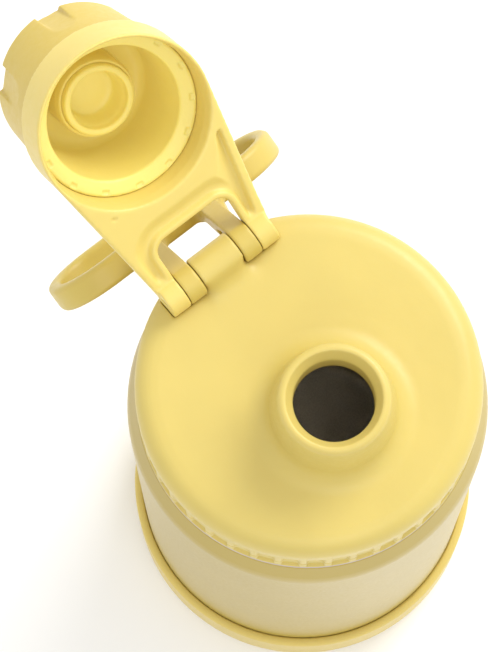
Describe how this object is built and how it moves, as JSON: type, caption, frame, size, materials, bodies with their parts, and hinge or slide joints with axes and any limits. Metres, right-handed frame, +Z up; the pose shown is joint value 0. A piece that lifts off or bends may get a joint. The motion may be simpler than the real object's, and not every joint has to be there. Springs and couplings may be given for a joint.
{
  "type": "kids water bottle",
  "caption": "Insulated bottle in a silicone boot, with a screw lid and spout, a flip-over arm carrying a twist cap, and a carry handle that swings on the same hinge.",
  "frame": {"origin": "centre of the boot's underside, on the surface the bottle stands on", "axes": "+Z up along the bottle; +Y towards the hinge and handle at the back; -Y towards the spout; +X along the hinge pin"},
  "size_m": [0.077, 0.1257, 0.191],
  "materials": {
    "powder_coat": "satin powder coat with fine orange peel",
    "stainless_steel": "electropolished, slightly brushed",
    "sealing_resin": "cured sealing resin",
    "getter_metal": "dull sintered metal",
    "boot_silicone": "matte moulded silicone",
    "seal_silicone": "soft matte silicone",
    "lid_plastic": "fine satin moulded plastic",
    "arm_plastic": "fine satin moulded plastic",
    "cap_plastic": "fine satin moulded plastic",
    "handle_plastic": "fine satin moulded plastic",
    "pin_steel": "drawn pin"
  },
  "bodies": {
    "bottle": {"outer_shell": "powder_coat", "base_plate": "stainless_steel", "evacuation_seal": "sealing_resin", "inner_liner": "stainless_steel", "vacuum_getter": "getter_metal", "bumper_boot": "boot_silicone"},
    "gasket": {"lid_gasket": "seal_silicone"},
    "lid": {"lid_body": "lid_plastic", "hinge_pin": "pin_steel"},
    "handle": {"carry_handle": "handle_plastic"},
    "arm": {"cap_carrier": "arm_plastic"},
    "cap": {"cap_grip": "cap_plastic", "cap_liner": "cap_plastic", "plug_seal": "seal_silicone"}
  },
  "joints": [
    {"name": "lid_lift", "type": "slide", "parent": "bottle", "child": "gasket", "axis": [0, 0, 1], "range_m": [0, 0.00501]},
    {"name": "lid_turn", "type": "hinge", "parent": "gasket", "child": "lid", "pos_m": [0, 0, 0.141], "axis": [0, 0, 1], "range_deg": [0, 450]},
    {"name": "arm_flip", "type": "hinge", "parent": "lid", "child": "arm", "pos_m": [0, 0.02965, 0.154], "axis": [1, 0, 0], "range_deg": [0, 139.3]},
    {"name": "cap_turn", "type": "hinge", "parent": "arm", "child": "cap", "pos_m": [0, 0.05781, 0.17822], "axis": [0, -0.6521, 0.7581], "continuous": true},
    {"name": "handle_swing", "type": "hinge", "parent": "lid", "child": "handle", "pos_m": [0, 0.02965, 0.154], "axis": [1, 0, 0], "range_deg": [0, 45]}
  ],
  "couplings": [
    {"joint": "lid_lift", "follows": "lid_turn", "m_per_rad": 0.00063662}
  ]
}
